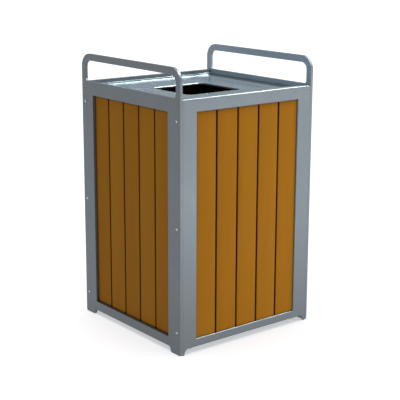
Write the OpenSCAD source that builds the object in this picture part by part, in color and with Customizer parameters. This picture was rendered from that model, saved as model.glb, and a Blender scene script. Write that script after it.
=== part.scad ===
// Square street litter bin: two plate side frames with handle loops, formed front
// and rear frames, upright lumber boards, a lift-out top pan and a round liner.
// Millimetres. +Z is up, -Y is the front, and the origin is on the ground at the
// middle of the footprint.

/* [Body] */
// Overall width, outside face to outside face of the side frames
body_w = 610; // [600:1:640]
// Depth of the body, front to back
body_d = 606; // [600:1:640]
// Height of the side frames' shoulders, under the handle loops
body_h = 910; // [880:1:960]
// How far the front and rear rims sit below those shoulders
rim_drop = 3; // [2:1:6]
// Thickness of the side frame plate
plate_t = 10; // [10:1:12]
// Thickness of the formed sheet in the front and rear frames
sheet_t = 5; // [4:0.5:5]
// Outside radius of the bend along the top of the front and rear frames
bend_r = 6; // [5.5:0.5:8]

/* [Windows and boards] */
// Width of the window in each face
window_w = 465; // [460:1:468]
// Height of the window's sill in the front and rear frames
front_sill_z = 50; // [44:1:52]
// Height of the window's sill in the side frames
side_sill_z = 54; // [52:1:60]
// Height of the windows' heads
head_z = 859; // [840:1:860]
// Width of one board
board_w = 89; // [86:1:90]
// Gap between two boards
board_gap = 6; // [5:0.5:7]
// Thickness of one board
board_t = 19; // [17:1:19]
// Radius of the boards' eased long edges
board_edge_r = 3; // [2:0.5:6]
// Length of board hidden behind the front frame at each end
board_overlap = 12; // [8:1:12]

/* [Handles] */
// Overall height, to the top of the handle loops
top_h = 1012; // [1000:1:1060]
// Width of the handle loop's band in the plane of the plate
handle_band = 25; // [20:1:30]
// Outside radius of the loop's top corners
handle_r_out = 50; // [40:1:60]
// Inside radius of the loop's top corners
handle_r_in = 26; // [15:1:30]
// Inside radius where the loop meets the shoulder
shoulder_r = 11; // [5:1:15]

/* [Feet] */
// Clear height under the bottom rails
foot_h = 20; // [18:1:24]
// Length of a side frame's foot along the ground
side_foot = 50; // [40:1:60]
// Distance from the corner of the bin to the inside of the front frame's foot
front_foot = 20; // [18:1:30]

/* [Top pan] */
// Depth of the pan's floor below the rim
pan_depth = 21; // [18:1:24]
// Height of the pan's upstand above its floor
pan_upstand = 9; // [6:1:12]
// Thickness of the pan's sheet
pan_t = 3; // [2:0.5:3]
// Width of the litter opening, side to side
opening_w = 244; // [200:1:260]
// Depth of the litter opening, front to back
opening_d = 232; // [200:1:260]
// Radius of the opening's corners
opening_r = 22; // [15:1:30]
// Depth of the lip turned down round the opening, below the pan's floor
lip_depth = 8; // [5:1:12]

/* [Liner] */
// Outside diameter of the liner's wall at the top
liner_top_d = 490; // [440:1:492]
// Outside diameter of the liner's wall at the bottom
liner_base_d = 430; // [380:1:440]
// Height of the liner
liner_h = 735; // [600:1:760]
// Wall thickness of the liner
liner_t = 4; // [3:0.5:5]

/* [Hidden] */
$fn = 64;

half_w = body_w / 2;
half_d = body_d / 2;
plate_in = half_w - plate_t;
rim_z = body_h - rim_drop;

// The formed frames sit between the side frames with a fine seam at each side.
seam = 0.5;
frame_half = plate_in - seam;
flange_w = 24;
lip_in = half_d - flange_w;
shelf_w = 22;
return_w = 38;
bottom_flange_w = 38;

// Heights in the formed frames.
pad_t = 2;
pan_gap = 0.3;
pan_floor_z = rim_z - pan_depth;
pan_under_z = pan_floor_z - pan_t;
shelf_z = pan_under_z - pad_t;
pan_half_w = plate_in - 2.5;
pan_half_d = lip_in - 1.5;

// Boards.
BOARDS = [1, 2, 3, 4, 5];
board_pitch = board_w + board_gap;
board_z0 = front_sill_z - board_overlap;
board_z1 = head_z + board_overlap;

// Straps: a flat bar across the backs of the boards, with ends that step back to the frame.
strap_t = 5;
strap_h = 38;
strap_foot = 20;
strap_leg_x = window_w / 2 + 5;
STRAPS = [["low", 112], ["mid", 452], ["high", 792]];

// Board screws.
screw_d = 4.5;
screw_head_d = 10;
screw_head_h = 2.5;
screw_reach = 12;
screw_clear = 0.3;

// Bolts through the side frames into the formed frames' returns.
bolt_d = 6;
bolt_clear_d = 6.6;
bolt_head_d = 11;
bolt_head_h = 3.3;
bolt_socket_af = 4;
bolt_edge = 20;
BOLT_Z = [83, 459, 833];
washer_d = 12.5;
washer_t = 1.6;
nut_af = 10;
nut_h = 6;
bolt_spare = 3;

// Base plate, its bolts and its anchor holes.
base_t = 3;
base_z = foot_h + sheet_t;
base_top_z = base_z + base_t;
base_bolt_x = 246;
base_bolt_y = half_d - 20;
base_bolt_d = 8;
base_bolt_clear_d = 9;
base_head_d = 14;
base_head_h = 4.4;
base_nut_af = 13;
base_nut_h = 6.5;
anchor_pitch = 400;
anchor_d = 14;

// Liner.
liner_z = base_top_z + 0.3;
liner_rim_d = liner_top_d + 20;
liner_rim_h = 18;

cut = 1;

SIDES = ["front", "left", "rear", "right"];
ENDS = ["left", "right"];

// ---- flat shapes -------------------------------------------------------------

// Rectangle centred on X from z0 to z1, with its own radius on the low and high corners.
module corner_rect(w, z0, z1, r_low, r_high) {
    translate([-w / 2, z0 + r_low])
        square([w, z1 - z0 - r_low - r_high]);
    corner_band(w, z0, r_low, 1);
    corner_band(w, z1, r_high, -1);
}

// The band of a corner_rect that holds two round corners; up is 1 or -1.
module corner_band(w, z, r, up) {
    if (r > 0) {
        translate([-w / 2 + r, up > 0 ? z : z - r])
            square([w - 2 * r, r]);
        for (x = [-w / 2 + r, w / 2 - r])
            translate([x, z + up * r])
                circle(r);
    }
}

// The flare that rounds the inside toe of a side frame's foot, at distance x from the middle.
module toe_flare(x, r) {
    difference() {
        translate([x, -cut])
            square([r, r + cut]);
        translate([x + r, r])
            circle(r);
    }
}

// ---- placing -----------------------------------------------------------------

// Extrudes a flat shape drawn in X and Z along Y, from y0 for a length.
module along_y(y0, length) {
    translate([0, y0 + length, 0])
        rotate([90, 0, 0])
            linear_extrude(length)
                children();
}

// Extrudes a flat shape drawn in Y and Z along X, from x0 for a length.
module along_x(x0, length) {
    translate([x0, 0, 0])
        rotate([90, 0, 90])
            linear_extrude(length)
                children();
}

// Turns a face drawn at the front, with its outside at Y = 0, to its side of the bin.
module on_side(side) {
    turn = side == "front" ? 0 : side == "right" ? 90 : side == "rear" ? 180 : 270;
    reach = side == "front" || side == "rear" ? half_d : half_w;
    rotate([0, 0, turn])
        translate([0, -reach, 0])
            children();
}

// ---- side frames -------------------------------------------------------------

module side_outline() {
    toe_r = 8;
    arch_r = foot_h - toe_r;
    toe_x = half_d - side_foot - toe_r;
    difference() {
        corner_rect(body_d, 0, top_h, 6, handle_r_out);
        corner_rect(body_d - 2 * handle_band, body_h, top_h - handle_band, shoulder_r, handle_r_in);
        translate([-window_w / 2, side_sill_z])
            square([window_w, head_z - side_sill_z]);
        corner_rect(2 * toe_x, -cut, foot_h, 0, arch_r);
        for (m = [0, 1])
            mirror([m, 0])
                toe_flare(toe_x, toe_r);
    }
}

// Calls its children at each bolt of the left side frame, with +Z pointing into the bin.
module at_frame_bolts() {
    for (y = [-half_d + bolt_edge, half_d - bolt_edge])
        for (z = BOLT_Z)
            translate([-half_w, y, z])
                rotate([0, 90, 0])
                    children();
}

module side_frame() {
    color("lightsteelblue")
        difference() {
            along_x(-half_w, plate_t)
                side_outline();
            at_frame_bolts()
                translate([0, 0, -cut])
                    cylinder(d = bolt_clear_d, h = plate_t + 2 * cut);
        }
}

// Puts a piece drawn at the left on the given end.
module at_end(end) {
    rotate([0, 0, end == "left" ? 0 : 180])
        children();
}

// ---- front and rear frames ---------------------------------------------------

// Section of the formed top edge: bend, flange, turned-down lip and the shelf for the pan.
module rim_section() {
    translate([-half_d + bend_r, rim_z - bend_r])
        difference() {
            intersection() {
                circle(bend_r);
                translate([-bend_r, 0])
                    square(bend_r);
            }
            circle(bend_r - sheet_t);
        }
    translate([-half_d + bend_r, rim_z - sheet_t])
        square([flange_w - bend_r, sheet_t]);
    translate([-lip_in - sheet_t, shelf_z - sheet_t])
        square([sheet_t, rim_z - shelf_z + sheet_t]);
    translate([-lip_in - sheet_t, shelf_z - sheet_t])
        square([shelf_w, sheet_t]);
}

module frame_face() {
    difference() {
        translate([-frame_half, 0])
            square([2 * frame_half, rim_z - bend_r]);
        translate([-window_w / 2, front_sill_z])
            square([window_w, head_z - front_sill_z]);
        corner_rect(2 * (half_w - front_foot), -cut, foot_h, 0, foot_h - 2);
    }
}

module front_frame() {
    color("lightsteelblue")
        difference() {
            union() {
                along_y(-half_d, sheet_t)
                    frame_face();
                along_x(-frame_half, 2 * frame_half)
                    rim_section();
                translate([-frame_half, -half_d, foot_h])
                    cube([2 * frame_half, bottom_flange_w, sheet_t]);
                for (x = [-frame_half, frame_half - sheet_t])
                    translate([x, -half_d, foot_h])
                        cube([sheet_t, return_w, shelf_z - sheet_t - foot_h]);
            }
            for (z = BOLT_Z)
                translate([-half_w, -half_d + bolt_edge, z])
                    rotate([0, 90, 0])
                        cylinder(d = bolt_clear_d, h = body_w);
            for (x = [-base_bolt_x, base_bolt_x])
                translate([x, -base_bolt_y, foot_h - cut])
                    cylinder(d = base_bolt_clear_d, h = sheet_t + 2 * cut);
        }
}

// ---- boards, straps and their screws -----------------------------------------

function board_x(i) = (i - (len(BOARDS) + 1) / 2) * board_pitch;

// Back of the frame behind a face's outside, which the boards bear on: the plate at the
// sides, the sheet at the front and rear.
function frame_back(side) = side == "front" || side == "rear" ? sheet_t : plate_t;

// One board in a face's own frame: outside at Y = 0, its own face at face_y, and screw holes
// in its back.
module board(i, face_y) {
    mid_y = face_y + board_t / 2;
    board_back = face_y + board_t;
    color("darkgoldenrod")
        difference() {
            translate([board_x(i), mid_y, board_z0])
                linear_extrude(board_z1 - board_z0)
                    translate([0, -board_t / 2])
                        corner_rect(board_w, 0, board_t, board_edge_r, 1.5);
            for (strap = STRAPS)
                translate([board_x(i), board_back + cut, strap[1]])
                    rotate([90, 0, 0])
                        cylinder(d = screw_d + screw_clear, h = screw_reach + 1 + cut);
        }
}

// Half of a strap's shape in plan, to the right of the middle, with its foot on Y = 0.
module strap_half_plan() {
    translate([0, board_t])
        square([strap_leg_x + strap_t, strap_t]);
    translate([strap_leg_x, 0]) {
        square([strap_t, board_t + strap_t]);
        square([strap_foot + strap_t, strap_t]);
    }
}

// A strap whose feet lie on the back of the frame at foot_y.
module strap(z, foot_y) {
    board_back = foot_y + board_t;
    color("slategray")
        difference() {
            translate([0, foot_y, z - strap_h / 2])
                linear_extrude(strap_h)
                    for (m = [0, 1])
                        mirror([m, 0])
                            strap_half_plan();
            for (i = BOARDS)
                translate([board_x(i), board_back + strap_t + cut, z])
                    rotate([90, 0, 0])
                        cylinder(d = screw_d + screw_clear, h = strap_t + 2 * cut);
        }
}

module board_screws(face_y) {
    color("silver")
        for (i = BOARDS)
            for (strap = STRAPS)
                translate([board_x(i), face_y + board_t + strap_t, strap[1]])
                    rotate([90, 0, 0]) {
                        cylinder(d = screw_d, h = strap_t + screw_reach);
                        translate([0, 0, -screw_head_h])
                            cylinder(d1 = screw_head_d * 0.6, d2 = screw_head_d, h = screw_head_h);
                    }
}

// ---- frame fasteners ---------------------------------------------------------

// Domed head under z = 0 with its shank along +Z. The hex socket is cut from the top.
module button_bolt(d, head_d, head_h, socket_af, length) {
    dome_r = (head_d * head_d / 4 + head_h * head_h) / (2 * head_h);
    difference() {
        union() {
            intersection() {
                translate([0, 0, dome_r - head_h])
                    sphere(dome_r);
                translate([0, 0, -head_h])
                    cylinder(d = head_d, h = head_h);
            }
            cylinder(d = d, h = length);
        }
        translate([0, 0, -head_h - cut])
            cylinder(d = socket_af / cos(30), h = head_h * 0.6 + cut, $fn = 6);
    }
}

module hex_nut(af, bore_d, h) {
    difference() {
        cylinder(d = af / cos(30), h = h, $fn = 6);
        translate([0, 0, -cut])
            cylinder(d = bore_d, h = h + 2 * cut);
    }
}

grip = plate_t + seam + sheet_t;

module frame_bolts() {
    color("silver")
        at_frame_bolts()
            button_bolt(bolt_d, bolt_head_d, bolt_head_h, bolt_socket_af,
                        grip + washer_t + nut_h + bolt_spare);
}

module frame_washers() {
    color("silver")
        at_frame_bolts()
            translate([0, 0, grip])
                difference() {
                    cylinder(d = washer_d, h = washer_t);
                    translate([0, 0, -cut])
                        cylinder(d = bolt_clear_d, h = washer_t + 2 * cut);
                }
}

module frame_nuts() {
    color("silver")
        at_frame_bolts()
            translate([0, 0, grip + washer_t])
                hex_nut(nut_af, bolt_d + screw_clear, nut_h);
}

// ---- base --------------------------------------------------------------------

module at_base_bolts() {
    for (x = [-base_bolt_x, base_bolt_x])
        for (y = [-base_bolt_y, base_bolt_y])
            translate([x, y, 0])
                children();
}

module base_plate() {
    plate_w = 2 * (frame_half - sheet_t - seam);
    plate_d = 2 * (half_d - sheet_t - seam);
    color("lightsteelblue")
        difference() {
            translate([-plate_w / 2, -plate_d / 2, base_z])
                cube([plate_w, plate_d, base_t]);
            translate([0, 0, base_z - cut]) {
                at_base_bolts()
                    cylinder(d = base_bolt_clear_d, h = base_t + 2 * cut);
                for (x = [-anchor_pitch / 2, anchor_pitch / 2])
                    for (y = [-anchor_pitch / 2, anchor_pitch / 2])
                        translate([x, y, 0])
                            cylinder(d = anchor_d, h = base_t + 2 * cut);
            }
        }
}

module base_bolts() {
    color("silver")
        at_base_bolts()
            translate([0, 0, base_top_z])
                mirror([0, 0, 1])
                    button_bolt(base_bolt_d, base_head_d, base_head_h, 5,
                                base_t + sheet_t + base_nut_h + bolt_spare);
}

module base_nuts() {
    color("silver")
        at_base_bolts()
            translate([0, 0, foot_h - base_nut_h])
                hex_nut(base_nut_af, base_bolt_d + screw_clear, base_nut_h);
}

// ---- top pan -----------------------------------------------------------------

module pan_pads() {
    pad_w = 60;
    pad_d = 14;
    pad_x = 190;
    color("dimgray")
        for (x = [-pad_x, pad_x])
            for (y = [-lip_in + pad_d / 2, lip_in - pad_d / 2])
                translate([x - pad_w / 2, y - pad_d / 2, shelf_z])
                    cube([pad_w, pad_d, pad_t - pan_gap]);
}

// The pan's opening in plan, grown by a margin.
module opening_plan(grow) {
    translate([0, -opening_d / 2])
        corner_rect(opening_w + 2 * grow, -grow, opening_d + grow,
                    opening_r + grow, opening_r + grow);
}

module top_pan() {
    color("lightsteelblue")
        difference() {
            union() {
                translate([-pan_half_w, -pan_half_d, pan_under_z])
                    cube([2 * pan_half_w, 2 * pan_half_d, pan_t + pan_upstand]);
                translate([0, 0, pan_floor_z - lip_depth])
                    linear_extrude(lip_depth)
                        opening_plan(pan_t);
            }
            translate([-pan_half_w + pan_t, -pan_half_d + pan_t, pan_floor_z])
                cube([2 * (pan_half_w - pan_t), 2 * (pan_half_d - pan_t), pan_upstand + cut]);
            translate([0, 0, pan_floor_z - lip_depth - cut])
                linear_extrude(lip_depth + 2 * cut)
                    opening_plan(0);
        }
}

// ---- liner -------------------------------------------------------------------

// Half section of the liner: floor, tapered wall and a rolled rim.
module liner() {
    base_r = liner_base_d / 2;
    top_r = liner_top_d / 2;
    rim_r = liner_rim_d / 2;
    color("darkslategray")
        translate([0, 0, liner_z])
            rotate_extrude($fn = 96)
                polygon([
                    [0, 0],
                    [base_r, 0],
                    [top_r, liner_h - liner_t],
                    [rim_r - liner_t, liner_h - liner_t],
                    [rim_r - liner_t, liner_h - liner_rim_h],
                    [rim_r, liner_h - liner_rim_h],
                    [rim_r, liner_h],
                    [top_r - liner_t, liner_h],
                    [base_r - liner_t, liner_t],
                    [0, liner_t]
                ]);
}

// ---- the bin -----------------------------------------------------------------

at_end("left") side_frame();  // side_frame_left
at_end("right") side_frame();  // side_frame_right
front_frame();
rotate([0, 0, 180]) front_frame();  // rear_frame

for (side = SIDES) {
    for (i = BOARDS)
        on_side(side) board(i, frame_back(side));
    for (s = STRAPS)
        on_side(side) strap(s[1], frame_back(side));
    on_side(side) board_screws(frame_back(side));
}

for (end = ENDS) {
    at_end(end) frame_bolts();
    at_end(end) frame_washers();
    at_end(end) frame_nuts();
}

base_plate();
base_bolts();
base_nuts();
pan_pads();
top_pan();
liner();
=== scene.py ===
"""Looks for the square litter bin.

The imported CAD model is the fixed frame. The side plates, straps, base plate and fasteners keep
their CAD meshes and get rounded edges from modifiers. The front and rear frames' sheets, the
boards, the top pan and the liner are finer meshes made here, in the space of their CAD nodes.
All lengths are in metres, and -Y is the front.
"""

import math
import random

import bmesh
import bpy
from mathutils import Matrix, Vector


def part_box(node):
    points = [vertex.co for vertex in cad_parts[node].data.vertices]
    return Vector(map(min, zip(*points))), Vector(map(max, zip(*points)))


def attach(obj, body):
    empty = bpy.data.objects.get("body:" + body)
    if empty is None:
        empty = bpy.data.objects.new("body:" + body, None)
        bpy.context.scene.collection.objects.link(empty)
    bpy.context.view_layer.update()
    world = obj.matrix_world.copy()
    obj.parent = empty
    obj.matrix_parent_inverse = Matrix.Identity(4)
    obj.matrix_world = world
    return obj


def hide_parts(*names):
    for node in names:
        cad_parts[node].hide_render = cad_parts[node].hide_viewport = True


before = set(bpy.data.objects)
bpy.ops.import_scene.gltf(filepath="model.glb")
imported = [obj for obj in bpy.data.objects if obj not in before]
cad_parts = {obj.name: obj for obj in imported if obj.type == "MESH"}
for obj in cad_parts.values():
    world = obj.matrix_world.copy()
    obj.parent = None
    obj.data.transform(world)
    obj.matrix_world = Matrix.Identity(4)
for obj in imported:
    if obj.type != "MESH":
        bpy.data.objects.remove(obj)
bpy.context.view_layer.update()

MM = 0.001
SIDES = ("front", "left", "rear", "right")
ENDS = ("left", "right")
BOARDS = (1, 2, 3, 4, 5)
STRAPS = ("low", "mid", "high")
TURN = {"front": 0, "right": 90, "rear": 180, "left": 270}
BOARD_SEED = 7
TONE = "board_tone"


# ---- node graphs ---------------------------------------------------------------------------

class Graph:
    """A short way to write a material's node tree."""

    def __init__(self, name):
        self.material = bpy.data.materials.new(name)
        self.material.use_nodes = True
        self.tree = self.material.node_tree
        self.shader = self.tree.nodes["Principled BSDF"]

    def node(self, kind, **settings):
        made = self.tree.nodes.new(kind)
        for name, value in settings.items():
            setattr(made, name, value)
        return made

    def link(self, source, target):
        self.tree.links.new(source, target)

    def place(self, scale):
        """Object coordinates in metres, scaled along each axis."""
        coords = self.node("ShaderNodeTexCoord")
        mapping = self.node("ShaderNodeMapping")
        mapping.inputs["Scale"].default_value = scale
        self.link(coords.outputs["Object"], mapping.inputs["Vector"])
        return mapping.outputs["Vector"]

    def noise(self, scale, detail=2.0, roughness=0.5, stretch=(1, 1, 1)):
        made = self.node("ShaderNodeTexNoise")
        made.inputs["Scale"].default_value = scale
        made.inputs["Detail"].default_value = detail
        made.inputs["Roughness"].default_value = roughness
        self.link(self.place(stretch), made.inputs["Vector"])
        return made.outputs["Fac"]

    def remap(self, source, low, high, to_low=0.0, to_high=1.0):
        made = self.node("ShaderNodeMapRange")
        made.inputs["From Min"].default_value = low
        made.inputs["From Max"].default_value = high
        made.inputs["To Min"].default_value = to_low
        made.inputs["To Max"].default_value = to_high
        self.link(source, made.inputs["Value"])
        return made.outputs["Result"]

    def blend(self, factor, first, second):
        """Mixes two colours; each is a colour or another node's output."""
        made = self.node("ShaderNodeMix", data_type="RGBA")
        self.link(factor, made.inputs["Factor"])
        for value, target in ((first, made.inputs["A"]), (second, made.inputs["B"])):
            if isinstance(value, (tuple, list)):
                target.default_value = (*value, 1.0)
            else:
                self.link(value, target)
        return made.outputs["Result"]

    def bump(self, height, strength, distance, normal=None):
        made = self.node("ShaderNodeBump")
        made.inputs["Strength"].default_value = strength
        made.inputs["Distance"].default_value = distance
        self.link(height, made.inputs["Height"])
        if normal is not None:
            self.link(normal, made.inputs["Normal"])
        return made.outputs["Normal"]

    def closeness(self, distance, samples):
        """Ambient occlusion: 1 on open faces, less within the distance of another face."""
        made = self.node("ShaderNodeAmbientOcclusion", samples=samples)
        made.inputs["Distance"].default_value = distance
        return made.outputs["AO"]

    def set(self, **values):
        """Sets constants, or links outputs, on the shader's own sockets."""
        for name, value in values.items():
            socket = self.shader.inputs[name.replace("_", " ")]
            if isinstance(value, bpy.types.NodeSocket):
                self.link(value, socket)
            elif isinstance(value, (tuple, list)):
                socket.default_value = (*value, 1.0)
            else:
                socket.default_value = value


def shade(colour, factor, lift=0.0):
    """A colour made darker or lighter by a factor, then lifted by the same amount in each channel."""
    return tuple(min(1.0, channel * factor + lift) for channel in colour)


def powder_coat(name, colour, roughness, metallic, flow):
    """Silver powder coat: fine flake, orange peel, and a slow variation in tone.

    flow is the height in metres of the sheet's own slow waviness.
    """
    g = Graph(name)
    flake = g.remap(g.noise(scale=1500, detail=1.0), 0.35, 0.65)
    drift = g.remap(g.noise(scale=3.2, detail=3.0, roughness=0.55), 0.3, 0.7)
    slow = g.blend(drift, shade(colour, 0.90), colour)
    fine = g.blend(flake, slow, shade(colour, 1.07))
    peel = g.bump(g.noise(scale=520, detail=2.0, roughness=0.45), strength=0.10, distance=0.6 * MM)
    wavy = g.bump(g.noise(scale=5.5, detail=1.5, roughness=0.4), 0.6, flow, peel)
    mottle = g.noise(scale=45, detail=4.0, roughness=0.6)
    g.set(Base_Color=fine, Metallic=metallic, Normal=wavy,
          Roughness=g.remap(mottle, 0.25, 0.75, roughness - 0.04, roughness + 0.05))
    return g.material


def lumber(name, light, dark):
    """Recycled-plastic lumber: a grain along the board, a tone of its own per board, and painted
    shade in the gaps and along the frame's edges.
    """
    g = Graph(name)
    tone = g.node("ShaderNodeAttribute", attribute_name=TONE).outputs["Fac"]
    grain = g.noise(scale=1.0, detail=5.0, roughness=0.62, stretch=(260, 260, 5.5))
    cloud = g.noise(scale=1.0, detail=3.0, roughness=0.5, stretch=(22, 22, 2.2))
    body = g.blend(tone, dark, light)
    streak = g.blend(g.remap(grain, 0.32, 0.72), shade(dark, 0.80), body)
    speck = g.remap(g.noise(scale=1400, detail=2.0, roughness=0.5), 0.62, 0.74)
    mixed = g.blend(g.remap(cloud, 0.25, 0.75, 0.35, 1.0), streak, body)
    flecked = g.blend(g.remap(speck, 0.0, 1.0, 0.0, 0.18), mixed, shade(dark, 0.55))
    # Painted shade: the colour goes nearly black where another face is within 12 mm, which is in the
    # gaps between boards and along the frame's edges.
    joint_shade_mask = g.remap(g.closeness(distance=12 * MM, samples=8), 0.60, 0.90)
    painted_joint_shade = g.blend(joint_shade_mask, shade(dark, 0.2), flecked)
    emboss = g.bump(grain, strength=0.22, distance=0.5 * MM)
    skin = g.bump(g.noise(scale=900, detail=2.0, roughness=0.5), 0.12, 0.3 * MM, emboss)
    g.set(Base_Color=painted_joint_shade, Normal=skin, Specular_IOR_Level=0.03, Specular_Tint=(1.0, 0.8, 0.5),
          Roughness=g.remap(grain, 0.3, 0.7, 0.50, 0.62))
    return g.material


def stainless(name, light, dark):
    """Bare stainless steel with a fine even grain."""
    g = Graph(name)
    grain = g.noise(scale=1.0, detail=3.0, roughness=0.6, stretch=(900, 900, 900))
    g.set(Base_Color=g.blend(g.remap(grain, 0.3, 0.7), dark, light), Metallic=1.0,
          Normal=g.bump(grain, strength=0.15, distance=0.2 * MM),
          Roughness=g.remap(grain, 0.3, 0.7, 0.16, 0.26))
    return g.material


def moulded_plastic(name, colour, grain_scale, roughness):
    """Moulded plastic or rubber with a fine leather-like skin and scuffs running up and down."""
    g = Graph(name)
    skin = g.noise(grain_scale, detail=3.0, roughness=0.55)
    scuff = g.remap(g.noise(scale=1.0, detail=4.0, roughness=0.6, stretch=(60, 60, 7)), 0.55, 0.8)
    worn = shade(colour, 1.9, lift=0.01)
    g.set(Base_Color=g.blend(scuff, colour, worn), Normal=g.bump(skin, 0.25, 0.6 * MM),
          Roughness=g.remap(skin, 0.3, 0.7, roughness - 0.05, roughness + 0.08))
    return g.material


def primer(name, colour):
    """Primed steel inside the body: matt, slightly mottled and rough to the touch."""
    g = Graph(name)
    tone = g.remap(g.noise(scale=14, detail=4.0, roughness=0.6), 0.3, 0.7)
    g.set(Base_Color=g.blend(tone, shade(colour, 0.8), colour), Metallic=0.2,
          Normal=g.bump(g.noise(scale=700, detail=2.0), strength=0.2, distance=0.4 * MM),
          Roughness=g.remap(g.noise(scale=60, detail=3.0), 0.3, 0.7, 0.48, 0.62))
    return g.material


def pale_floor(name, light, dark, glow):
    """Near-white floor that gives off a little light, so that it stays even to the horizon."""
    g = Graph(name)
    tone = g.remap(g.noise(scale=1.3, detail=2.0), 0.3, 0.7)
    colour = g.blend(tone, dark, light)
    g.set(Base_Color=colour, Roughness=0.9, Specular_IOR_Level=0.1, Emission_Color=colour,
          Emission_Strength=glow)
    return g.material


FRAME_COAT = powder_coat("frame_powder_coat", (0.122, 0.141, 0.154), roughness=0.42, metallic=0.5,
                         flow=0.4 * MM)
PAN_COAT = powder_coat("pan_powder_coat", (0.15, 0.19, 0.22), roughness=0.22, metallic=0.45,
                       flow=2.2 * MM)
LUMBER = lumber("board_lumber", light=(0.276, 0.112, 0.0075), dark=(0.244, 0.096, 0.0062))
STAINLESS = stainless("stainless", light=(0.68, 0.69, 0.70), dark=(0.50, 0.51, 0.52))
NEOPRENE = moulded_plastic("neoprene", (0.02, 0.02, 0.02), grain_scale=1200, roughness=0.7)
LINER = moulded_plastic("liner_plastic", (0.015, 0.019, 0.024), grain_scale=850, roughness=0.45)
PRIMER = primer("inner_steel", (0.20, 0.22, 0.24))


# ---- mesh helpers --------------------------------------------------------------------------

WELD_DISTANCE = 0.01 * MM
FLAT_ANGLE = math.radians(0.5)
EASED_ANGLE = math.radians(35)


def finish_mesh(name, bm, material, body, slot, *nodes, sharp=40):
    """Turns a bmesh into a piece that rides on a body and stands for CAD nodes."""
    bmesh.ops.recalc_face_normals(bm, faces=bm.faces)
    mesh = bpy.data.meshes.new(name)
    bm.to_mesh(mesh)
    bm.free()
    mesh.shade_smooth()
    mesh.set_sharp_from_angle(angle=math.radians(sharp))
    mesh.materials.append(material)
    piece = bpy.data.objects.new(name, mesh)
    bpy.context.scene.collection.objects.link(piece)
    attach(piece, body)
    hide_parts(*nodes)
    return piece


def bridge(bm, rings, closed=False):
    """Joins rings of vertices, each with the same count, into a skin of quads."""
    pairs = list(zip(rings, rings[1:]))
    if closed:
        pairs.append((rings[-1], rings[0]))
    for low, high in pairs:
        count = len(low)
        for i in range(count):
            j = (i + 1) % count
            bm.faces.new((low[i], low[j], high[j], high[i]))


def arc(cx, cy, r, start, end, steps):
    """Points along an arc, in degrees from start to end, ends included."""
    angles = (math.radians(start + (end - start) * i / steps) for i in range(steps + 1))
    return [(cx + r * math.cos(a), cy + r * math.sin(a)) for a in angles]


def ease_edges(piece, width, segments):
    """Rounds a piece's sharp edges by modifiers, then evens its normals."""
    if width:
        rounding = piece.modifiers.new("rounding", "BEVEL")
        rounding.width = width
        rounding.segments = segments
        rounding.limit_method = "ANGLE"
        rounding.angle_limit = EASED_ANGLE
    even = piece.modifiers.new("even_normals", "WEIGHTED_NORMAL")
    even.keep_sharp = True


def dress(node, material, width, segments=2):
    """Gives a CAD node its material and small rounded edges."""
    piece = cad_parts[node]
    piece.data.materials.clear()
    piece.data.materials.append(material)
    piece.data.shade_smooth()
    weld = piece.modifiers.new("weld", "WELD")
    weld.merge_threshold = WELD_DISTANCE
    flat = piece.modifiers.new("flat_faces", "DECIMATE")
    flat.decimate_type = "DISSOLVE"
    flat.angle_limit = FLAT_ANGLE
    ease_edges(piece, width, segments)


# ---- front and rear frames -----------------------------------------------------------------

CUT_EDGE_R = 4 * MM
CUT_EDGE_SEGMENTS = 5
SHEET_EASE = 0.6 * MM
FACE_REACH = 0.05 * MM
END_MARGIN = 1 * MM
TOP_BEND_MARGIN = 20 * MM
CORNER_ANGLE = 0.6


def make_formed_frame(side):
    """The bent sheet, on its CAD shape, with the outer edges of its window and rail rounded."""
    node = f"{side}_frame"
    low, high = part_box(node)
    face_y = low.y if side == "front" else high.y
    bm = bmesh.new()
    bm.from_mesh(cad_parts[node].data)
    bmesh.ops.remove_doubles(bm, verts=bm.verts, dist=WELD_DISTANCE)
    bmesh.ops.dissolve_limit(bm, angle_limit=FLAT_ANGLE, verts=bm.verts, edges=bm.edges)

    def on_outer_face(vert):
        x, y, z = vert.co
        clear_of_ends = abs(x) < high.x - END_MARGIN and z < high.z - TOP_BEND_MARGIN
        return clear_of_ends and abs(y - face_y) < FACE_REACH

    def is_cut_edge(edge):
        return all(map(on_outer_face, edge.verts)) and edge.calc_face_angle(0) > CORNER_ANGLE

    cut = [edge for edge in bm.edges if is_cut_edge(edge)]
    bmesh.ops.bevel(bm, geom=cut, offset=CUT_EDGE_R, segments=CUT_EDGE_SEGMENTS, profile=0.5,
                    affect="EDGES")
    piece = finish_mesh(f"{node}_sheet", bm, FRAME_COAT, "enclosure", "frame_powder_coat", node)
    ease_edges(piece, SHEET_EASE, segments=2)


# ---- boards --------------------------------------------------------------------------------

BOARD_FACE_R = 3 * MM
BOARD_BACK_R = 1.5 * MM
BOARD_END_EASE = 1.2 * MM
BOARD_RINGS = 30
BOARD_WANDER = 0.12 * MM
WANDER_RATE = 9
LOWEST_TONE = 0.25


def board_section(width, depth):
    """Plan of a board, its face towards -Y: eased face edges and crisp back edges."""
    w, d = width / 2, depth / 2
    f, b = BOARD_FACE_R, BOARD_BACK_R
    points = arc(w - f, -d + f, f, -90, 0, 6)
    points += arc(w - b, d - b, b, 0, 90, 3)
    points += arc(-w + b, d - b, b, 90, 180, 3)
    points += arc(-w + f, -d + f, f, 180, 270, 6)
    return points


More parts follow.
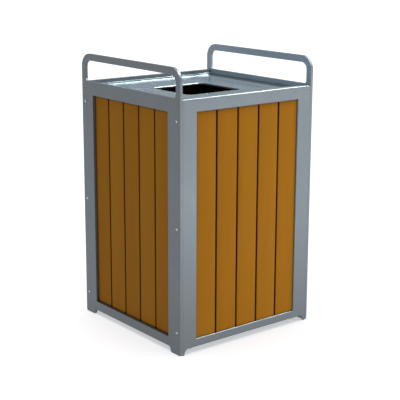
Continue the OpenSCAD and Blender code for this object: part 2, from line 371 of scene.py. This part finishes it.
def make_board(side, index, rng):
    """A board with eased ends, whose sides wander in and out a little along its length."""
    node = f"{side}_board_{index}"
    low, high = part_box(node)
    middle = (low + high) / 2
    size = high - low
    along_x = side in ("front", "rear")
    width, depth = (size.x, size.y) if along_x else (size.y, size.x)
    section = board_section(width, depth)
    turn = Matrix.Rotation(math.radians(TURN[side]), 4, "Z")
    heights = [low.z, low.z + BOARD_END_EASE]
    heights += [low.z + size.z * (k + 1) / (BOARD_RINGS + 1) for k in range(BOARD_RINGS)]
    heights += [high.z - BOARD_END_EASE, high.z]
    phase = rng.uniform(0, 6.28)
    bm = bmesh.new()
    rings = []
    for k, z in enumerate(heights):
        shrink = BOARD_END_EASE if k in (0, len(heights) - 1) else 0
        wander = BOARD_WANDER * (1 + math.sin(phase + WANDER_RATE * z))
        ring = []
        for x, y in section:
            px = x * (1 - 2 * (shrink + wander) / width)
            py = y * (1 - 2 * shrink / depth)
            ring.append(bm.verts.new(turn @ Vector((px, py, 0)) + Vector((middle.x, middle.y, z))))
        rings.append(ring)
    bridge(bm, rings)
    bm.faces.new(rings[0])
    bm.faces.new(rings[-1])
    piece = finish_mesh(f"{node}_lumber", bm, LUMBER, "enclosure", "board_lumber", node)
    tone = piece.data.attributes.new(TONE, "FLOAT", "POINT")
    value = rng.uniform(LOWEST_TONE, 1.0)
    tone.data.foreach_set("value", [value] * len(piece.data.vertices))


# ---- top pan -------------------------------------------------------------------------------

PAN_T = 3 * MM
PAN_BEND = 5 * MM
PAN_CORNER_R = 7 * MM
PAN_CORNER_MIN_R = 1 * MM
PAN_RIM_EASE = 0.8 * MM
PAD_GAP = 0.3 * MM
OPENING_W = 244 * MM
OPENING_D = 232 * MM
OPENING_R = 22 * MM
LIP_BEND = 4 * MM
LIP_EASE = 0.5 * MM
CORNER_STEPS = 10


def rounded_ring(bm, half_x, half_y, r, z):
    """A ring of vertices round a rectangle with round corners, starting at its right side."""
    ring = []
    centres = ((1, 1, 0), (-1, 1, 90), (-1, -1, 180), (1, -1, 270))
    for sx, sy, start in centres:
        cx, cy = sx * (half_x - r), sy * (half_y - r)
        for x, y in arc(cx, cy, r, start, start + 90, CORNER_STEPS):
            ring.append(bm.verts.new((x, y, z)))
    return ring


def make_pan():
    """One sheet, followed from the opening's lip over the floor to the upstand and back beneath."""
    low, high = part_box("top_pan")
    lip_z, rim_z = low.z, high.z
    under_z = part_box("pan_pads")[1].z + PAD_GAP
    floor_z = under_z + PAN_T
    half_x, half_y = high.x, high.y
    open_x, open_y = OPENING_W / 2, OPENING_D / 2
    path = []

    def lip_point(grow, z):
        path.append((open_x + grow, open_y + grow, OPENING_R + grow, z))

    def wall_point(inset, z):
        corner_r = max(PAN_CORNER_R - inset, PAN_CORNER_MIN_R)
        path.append((half_x - inset, half_y - inset, corner_r, z))

    lip_point(LIP_EASE, lip_z)
    lip_point(0, lip_z + LIP_EASE)
    for out, up in arc(0, 0, LIP_BEND, 180, 90, 6):
        lip_point(LIP_BEND + out, floor_z - LIP_BEND + up)
    outer_bend = PAN_BEND + PAN_T
    for out, up in arc(0, 0, PAN_BEND, -90, 0, 6):
        wall_point(outer_bend - out, floor_z + PAN_BEND + up)
    wall_point(PAN_T, rim_z - PAN_RIM_EASE)
    wall_point(PAN_T - PAN_RIM_EASE, rim_z)
    wall_point(PAN_RIM_EASE, rim_z)
    wall_point(0, rim_z - PAN_RIM_EASE)
    for out, up in arc(0, 0, outer_bend, 0, -90, 8):
        wall_point(outer_bend - out, under_z + outer_bend + up)
    for out, up in arc(0, 0, LIP_BEND - PAN_T, 90, 180, 3):
        lip_point(LIP_BEND + out, floor_z - LIP_BEND + up)
    lip_point(PAN_T, lip_z + LIP_EASE)
    lip_point(PAN_T - LIP_EASE, lip_z)
    bm = bmesh.new()
    rings = [rounded_ring(bm, *place) for place in path]
    bridge(bm, rings, closed=True)
    finish_mesh("top_pan_sheet", bm, PAN_COAT, "pan", "pan_powder_coat", "top_pan", sharp=50)


# ---- liner ---------------------------------------------------------------------------------

LINER_T = 4 * MM
LINER_STEPS = 96
LINER_RIBS = 24
LINER_BASE_R = 430 * MM / 2
LINER_TOP_R = 490 * MM / 2
NECK_H = 90 * MM
NECK_STEP = 6 * MM
RIB_DEPTH = 1.2 * MM
BASE_BEND = 8 * MM
FOOT_H = 30 * MM
RIB_FOOT_H = 50 * MM
RIM_BEND = 5 * MM
HUB_R = 8 * MM


def liner_outlines(height, rim_r, rib_z):
    """The liner's section as (radius, height): up its outside, down its inside, and beneath."""
    t = LINER_T
    neck_z = height - NECK_H

    def wall(z):
        return LINER_BASE_R + (LINER_TOP_R - LINER_BASE_R) * z / height

    outside = [(LINER_BASE_R - 14 * MM, 0.0)]
    outside += arc(LINER_BASE_R - BASE_BEND, BASE_BEND, BASE_BEND, -90, 0, 5)
    outside += [(wall(z), z) for z in (FOOT_H, RIB_FOOT_H, rib_z)]
    outside.append((wall(neck_z) - 1 * MM, neck_z - NECK_STEP))
    outside.append((wall(neck_z) + 1.5 * MM, neck_z))
    outside.append((LINER_TOP_R - 1 * MM, height - 20 * MM))
    outside.append((LINER_TOP_R + 0.5 * MM, height - 8 * MM))
    outside.append((rim_r - 5 * MM, height - 6 * MM))
    outside.append((rim_r - t, height - 9 * MM))
    outside.append((rim_r - t, height - 17 * MM))
    outside.append((rim_r - t / 2, height - 18 * MM))
    outside.append((rim_r, height - 17 * MM))
    outside += arc(rim_r - RIM_BEND, height - RIM_BEND, RIM_BEND, 0, 90, 6)
    inside = arc(LINER_TOP_R - t + RIM_BEND, height - RIM_BEND, RIM_BEND, 90, 180, 5)
    inside.append((wall(neck_z) - 2 * MM, neck_z))
    inside.append((wall(neck_z) - t - 1 * MM, neck_z - NECK_STEP))
    inside += [(wall(z) - t, z) for z in (RIB_FOOT_H, FOOT_H)]
    inside += arc(LINER_BASE_R - t - BASE_BEND, 11.5 * MM, BASE_BEND, 0, -90, 5)
    inside += [(LINER_BASE_R / 2, 3.5 * MM), (HUB_R, 5.5 * MM)]
    under = [(HUB_R, 2 * MM), (LINER_BASE_R / 2, 1 * MM), (LINER_BASE_R - 20 * MM, 1 * MM)]
    return outside, inside, under


def make_liner():
    """A moulded round liner: ribbed tapering wall, stepped neck and a rolled rim."""
    low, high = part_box("liner")
    height = high.z - low.z
    rib_z = height - NECK_H - 20 * MM
    outside, inside, under = liner_outlines(height, high.x, rib_z)
    bm = bmesh.new()
    rings = []
    for r, z in outside + inside + under:
        depth = RIB_DEPTH if z == rib_z else 0.0
        ring = []
        for k in range(LINER_STEPS):
            angle = 2 * math.pi * k / LINER_STEPS
            inset = depth * (0.5 - 0.5 * math.cos(angle * LINER_RIBS))
            x = (r - inset) * math.cos(angle)
            y = (r - inset) * math.sin(angle)
            ring.append(bm.verts.new((x, y, low.z + z)))
        rings.append(ring)
    hub_top = len(outside) + len(inside) - 1
    hub_under = hub_top + 1
    bridge(bm, rings[:hub_under])
    bridge(bm, rings[hub_under:])
    bridge(bm, [rings[-1], rings[0]])
    bm.faces.new(rings[hub_top])
    bm.faces.new(rings[hub_under])
    finish_mesh("liner_moulding", bm, LINER, "liner", "liner_plastic", "liner", sharp=35)


# ---- light, floor and camera ---------------------------------------------------------------

LIGHT_AIM = Vector((0, 0, 0.5))
FLOOR_R = 60
FLOOR_GLOW = 0.52
NEUTRAL = (1, 1, 1)
COOL = (0.95, 0.98, 1.0)
COOLER = (0.94, 0.98, 1.0)
BLUE = (0.68, 0.82, 1.0)


def direction(azimuth, elevation):
    """The unit vector away from the bin, by azimuth (0 is the front, 90 the right) and elevation."""
    a, e = math.radians(azimuth), math.radians(elevation)
    return Vector((math.sin(a) * math.cos(e), -math.cos(a) * math.cos(e), math.sin(e)))


def aimed(name, kind, azimuth, elevation, distance):
    """A light aimed at the middle of the bin."""
    away = direction(azimuth, elevation)
    data = bpy.data.lights.new(name, kind)
    light = bpy.data.objects.new(name, data)
    light.location = LIGHT_AIM + away * distance
    light.rotation_mode = "QUATERNION"
    light.rotation_quaternion = away.to_track_quat("Z", "Y")
    bpy.context.scene.collection.objects.link(light)
    return light


def softbox(name, azimuth, elevation, distance, size, power, colour, receivers):
    light = aimed(name, "AREA", azimuth, elevation, distance)
    light.data.shape = "RECTANGLE"
    light.data.size, light.data.size_y = size
    light.data.energy = power
    light.data.color = colour
    light.light_linking.receiver_collection = receivers


def light_group(name, pieces, link_state):
    """A light-linking collection of the pieces that its lights reach alone, or leave out."""
    group = bpy.data.collections.new(name)
    for index, piece in enumerate(pieces):
        group.objects.link(piece)
        group.collection_objects[index].light_linking.link_state = link_state
    return group


def make_floor():
    bm = bmesh.new()
    bmesh.ops.create_circle(bm, cap_ends=True, radius=FLOOR_R, segments=96)
    mesh = bpy.data.meshes.new("floor")
    bm.to_mesh(mesh)
    bm.free()
    floor = bpy.data.objects.new("floor", mesh)
    mesh.materials.append(pale_floor("floor", (0.88, 0.88, 0.89), (0.86, 0.86, 0.87), FLOOR_GLOW))
    bpy.context.scene.collection.objects.link(floor)
    return floor


def make_sky():
    world = bpy.data.worlds.new("studio")
    world.use_nodes = True
    sky = world.node_tree.nodes["Background"]
    sky.inputs["Color"].default_value = (0.93, 0.97, 1.0, 1.0)
    sky.inputs["Strength"].default_value = 0.32
    bpy.context.scene.world = world


def studio():
    """White floor under an even overhead light, and softboxes that light the bin alone.

    The right side plate has a key light of its own, broader than the one for the rest, so that
    its rounded edges don't glare, and a fill light on its inner face.
    """
    make_sky()
    overhead = aimed("overhead", "SUN", 0, 90, 5)
    overhead.data.energy = 1.7
    overhead.data.angle = math.radians(60)
    floor = make_floor()
    right_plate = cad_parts["side_frame_right"]
    bin_only = light_group("bin_only", (floor,), "EXCLUDE")
    no_right_plate = light_group("no_right_plate", (floor, right_plate), "EXCLUDE")
    right_plate_only = light_group("right_plate_only", (right_plate,), "INCLUDE")
    softbox("low_front_right", 38, 0, 4.5, (1.8, 1.0), 27, COOL, bin_only)
    softbox("bounce_front", 10, -16, 1.6, (2.0, 0.5), 11, COOL, bin_only)
    softbox("rim_top", 150, 62, 4.0, (2.5, 2.5), 25, NEUTRAL, bin_only)
    softbox("key_right", 72, 50, 3.0, (1.0, 1.0), 190, COOLER, no_right_plate)
    softbox("plate_key", 72, 50, 3.0, (3.0, 3.0), 170, COOLER, right_plate_only)
    softbox("plate_fill", -82, 28, 3.0, (1.6, 1.0), 150, BLUE, right_plate_only)


def make_camera():
    """The camera in front of the bin's left corner, a little above it."""
    azimuth, elevation, roll = -38.443, 13.031, 0.2
    distance = 4.008
    aim = Vector((0.0228, 0.0034, 0.5334))
    back = direction(azimuth, elevation)
    data = bpy.data.cameras.new("camera")
    data.sensor_width = 36
    data.lens = 94.945
    data.shift_y = -0.05
    camera = bpy.data.objects.new("camera", data)
    camera.location = aim + back * distance
    camera.rotation_mode = "QUATERNION"
    level = (-back).to_track_quat("-Z", "Y")
    camera.rotation_quaternion = level @ Matrix.Rotation(math.radians(roll), 3, "Z").to_quaternion()
    bpy.context.scene.collection.objects.link(camera)
    bpy.context.scene.camera = camera


# ---- the bin -------------------------------------------------------------------------------

PLATE_EASE = 2.0 * MM
STRAP_EASE = 0.6 * MM
BASE_EASE = 0.5 * MM
NUT_EASE = 0.4 * MM
PAD_EASE = 0.3 * MM
WASHER_EASE = 0.2 * MM
NO_EASE = 0


def dress_cad_nodes():
    """Materials and eased edges for the pieces that keep their CAD meshes."""
    for end in ENDS:
        dress(f"side_frame_{end}", FRAME_COAT, PLATE_EASE, 3)
        dress(f"frame_bolts_{end}", STAINLESS, NO_EASE)
        dress(f"frame_washers_{end}", STAINLESS, WASHER_EASE, 1)
        dress(f"frame_nuts_{end}", STAINLESS, NUT_EASE, 1)
    for side in SIDES:
        dress(f"{side}_board_screws", STAINLESS, NO_EASE)
        for strap in STRAPS:
            dress(f"{side}_strap_{strap}", PRIMER, STRAP_EASE)
    dress("base_plate", PRIMER, BASE_EASE)
    dress("base_bolts", STAINLESS, NO_EASE)
    dress("base_nuts", STAINLESS, NUT_EASE, 1)
    dress("pan_pads", NEOPRENE, PAD_EASE, 1)


def main():
    make_camera()
    studio()
    dress_cad_nodes()
    make_formed_frame("front")
    make_formed_frame("rear")
    rng = random.Random(BOARD_SEED)
    for side in SIDES:
        for index in BOARDS:
            make_board(side, index, rng)
    make_pan()
    make_liner()
    bpy.context.scene.view_settings.view_transform = "Standard"


main()
